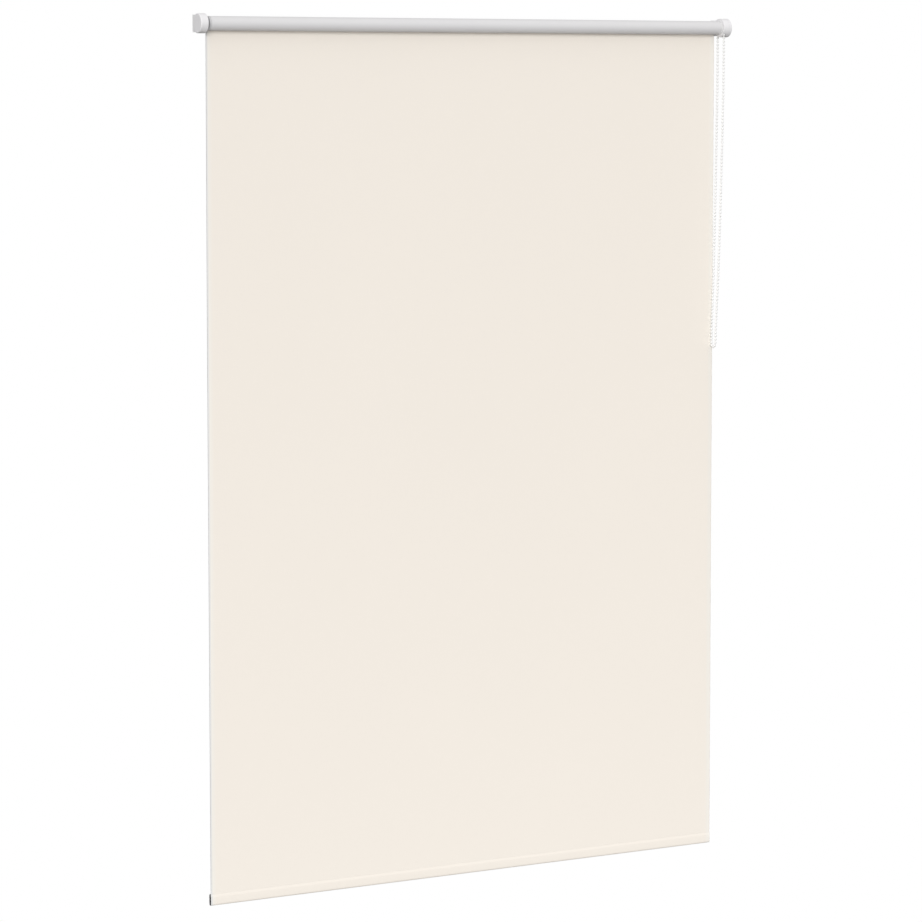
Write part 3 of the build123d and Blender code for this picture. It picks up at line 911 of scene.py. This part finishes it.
IDLE_WIRE = 0.0004
IDLE_TURNS = 10
idle_low, idle_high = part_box("idle_spring")
idle_radius = (idle_high.z - idle_low.z) / 2 - IDLE_WIRE
idle_length = idle_high.x - idle_low.x - 2 * IDLE_WIRE
idle_path = helix(idle_low.x + IDLE_WIRE, idle_length, idle_radius, IDLE_TURNS)
idle_coil = wire("idle_spring_coil", idle_path, IDLE_WIRE)
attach(idle_coil, "roller")
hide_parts("idle_spring")
pressed = travel_of("idle_pin_press")
(idle_high.x - idle_low.x - pressed) / (idle_high.x - idle_low.x)
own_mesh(idle_coil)

# %% [markdown]
# The two wrap springs of the clutch grip its fixed post. Each ends in two tangs that stick out into
# the window of the wheel's sleeve, a small angle to either side of the top. So a spring has twice
# that angle more than its full turns, and the helix, which starts at the top, is turned back by the
# angle before the tangs are added.

# %% Wind the wrap springs
WRAP_WIRE = 0.00048
WRAP_TURNS = 8
WRAP_GAP = 0.001
WRAP_WIRE_SHARE = 0.98
TANG_ANGLE = radians(20)
AXIS_POINT = np.array([0, axis_y, 0])
BACK_TURN = np.array(
    [
        [1, 0, 0],
        [0, cos(TANG_ANGLE), -sin(TANG_ANGLE)],
        [0, sin(TANG_ANGLE), cos(TANG_ANGLE)],
    ]
)
wrap_low, wrap_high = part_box("wrap_springs")
wrap_radius = -wrap_low.z - WRAP_WIRE
tang_tip = wrap_high.z / cos(TANG_ANGLE) - WRAP_WIRE
wrap_length = (wrap_high.x - wrap_low.x - WRAP_GAP) / 2
wrap_turns = WRAP_TURNS - 1 + 2 * TANG_ANGLE / (2 * pi)
for number, start in enumerate((wrap_low.x, wrap_low.x + wrap_length + WRAP_GAP), 1):
    coil = helix(start + WRAP_WIRE, wrap_length - 2 * WRAP_WIRE, wrap_radius, wrap_turns)
    coil = (coil - AXIS_POINT) @ BACK_TURN.T + AXIS_POINT
    tangs = []
    for end in (coil[0], coil[-1]):
        outward = (end - np.array([end[0], axis_y, 0])) / wrap_radius
        tangs.append(end + outward * (tang_tip - wrap_radius))
    path = np.concatenate([[tangs[0]], coil, [tangs[1]]])
    wrap_coil = wire(f"wrap_spring_{number}", path, WRAP_WIRE * WRAP_WIRE_SHARE)
    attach(wrap_coil, "chain_wheel")
    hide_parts("wrap_springs")

# %% [markdown]
# ## Finishes of the hard parts
# The hard parts keep their CAD shape. Moulded plastic has a fine spark-eroded grain and a faint
# cloudiness, powder coat has an orange-peel ripple, extruded aluminium has lines along its length,
# and zinc plating has patches of slightly different brightness.

# %% Make the hard finishes
PLASTIC_CLOUD, PLASTIC_GRAIN = 30.0, 2600.0
PAINT_CLOUD, PAINT_PEEL = 40.0, 700.0
METAL_HAZE, METAL_LINES = 60.0, 2400.0
ZINC_PATCHES, ZINC_SCRATCHES = 420.0, 5200.0
GRAIN_HEIGHT, PEEL_HEIGHT = 0.00003, 0.00006
LINE_HEIGHT, SCRATCH_HEIGHT = 0.00002, 0.00001


def moulded(name, colour, roughness):
    """Moulded plastic: a fine even grain, a faint cloud in the colour and in the gloss."""
    finish = Finish(name, roughness=roughness)
    place = finish.place()
    cloud = finish.noise(place, PLASTIC_CLOUD, 3.0)
    fine = finish.noise(place, PLASTIC_GRAIN, 2.0)
    tone = cloud * 0.6 + fine * 0.4
    finish.give("Base Color", finish.mix(tone, shade(colour, 0.97), shade(colour, 1.03)))
    finish.give("Roughness", tone * 0.16 + (roughness - 0.08))
    finish.raise_by(fine, GRAIN_HEIGHT, 0.7)
    return finish.material


def powder_coat(name, colour):
    """Painted steel: a soft orange-peel ripple over a finer speckle."""
    finish = Finish(name, roughness=0.45)
    place = finish.place()
    peel = finish.noise(place, PAINT_PEEL, 2.0)
    cloud = finish.noise(place, PAINT_CLOUD, 3.0)
    finish.give("Base Color", finish.mix(cloud, shade(colour, 0.96), shade(colour, 1.03)))
    finish.give("Roughness", peel * 0.2 + 0.36)
    finish.raise_by(peel, PEEL_HEIGHT, 0.6)
    return finish.material


def extruded(name, colour, roughness):
    """Extruded aluminium: long thin die lines along the piece, in brightness and in height."""
    finish = Finish(name, metallic=1.0, roughness=roughness)
    place = finish.place()
    lines = finish.noise(place, METAL_LINES, 3.0, (0.002, 1.0, 1.0))
    haze = finish.noise(place, METAL_HAZE, 3.0, (0.3, 1.0, 1.0))
    finish.give("Base Color", finish.mix(lines, shade(colour, 0.9), shade(colour, 1.06)))
    finish.give("Roughness", lines * 0.12 + haze * 0.14 + (roughness - 0.1))
    finish.raise_by(lines, LINE_HEIGHT, 0.6)
    return finish.material


def plated(name, colour):
    """Zinc plating on steel: small bright and dull patches with fine scratches."""
    finish = Finish(name, metallic=1.0, roughness=0.3)
    place = finish.place()
    patches = finish.noise(place, ZINC_PATCHES, 4.0)
    scratches = finish.noise(place, ZINC_SCRATCHES, 2.0, (1.0, 0.08, 1.0))
    finish.give("Base Color", finish.mix(patches, shade(colour, 0.85), shade(colour, 1.1)))
    finish.give("Roughness", patches * 0.2 + scratches * 0.12 + 0.16)
    finish.raise_by(scratches, SCRATCH_HEIGHT, 0.5)
    return finish.material


made = [
    moulded("cover_satin", (0.80, 0.79, 0.80), 0.42),
    moulded("core_white", (0.80, 0.80, 0.79), 0.5),
    moulded("bush_grey", (0.45, 0.45, 0.46), 0.46),
    powder_coat("bracket_coat", (0.82, 0.82, 0.82)),
    extruded("tube_metal", (0.80, 0.80, 0.81), 0.34),
    # painted shade: the bar is made dark for the shade inside the hem pocket's open ends
    extruded("bar_metal_painted_shade", (0.16, 0.16, 0.165), 0.45),
    moulded("plug_grey", (0.60, 0.60, 0.61), 0.5),
    plated("zinc", (0.66, 0.66, 0.67)),
]
finishes = {material.name: material for material in made}
print(len(finishes), "hard finishes ready")

# %% [markdown]
# The covers and the housing are satin, the clutch's inner parts are plain white, and the plug and
# the bush at the idle end are grey. The bar in the hem is seen only at its open ends, and its
# metal is made dark: painted shade, standing in for the shade inside the pocket's open ends.

# %% Give each hard part its finish
FINISH_OF = {
    "left_cover": "cover_satin",
    "right_cover": "cover_satin",
    "drive_housing": "cover_satin",
    "clutch_core": "core_white",
    "drive_crown": "core_white",
    "chain_wheel": "core_white",
    "idle_plug": "plug_grey",
    "idle_bush": "bush_grey",
    "left_bracket": "bracket_coat",
    "right_bracket": "bracket_coat",
    "roller_tube": "tube_metal",
    "hem_bar": "bar_metal_painted_shade",
    "idle_pin": "zinc",
    "core_screw": "zinc",
}
for node_name, finish_name in FINISH_OF.items():
    mesh = nodes[node_name].data
    mesh.materials.clear()
    mesh.materials.append(finishes[finish_name])
print(len(FINISH_OF), "hard parts finished")
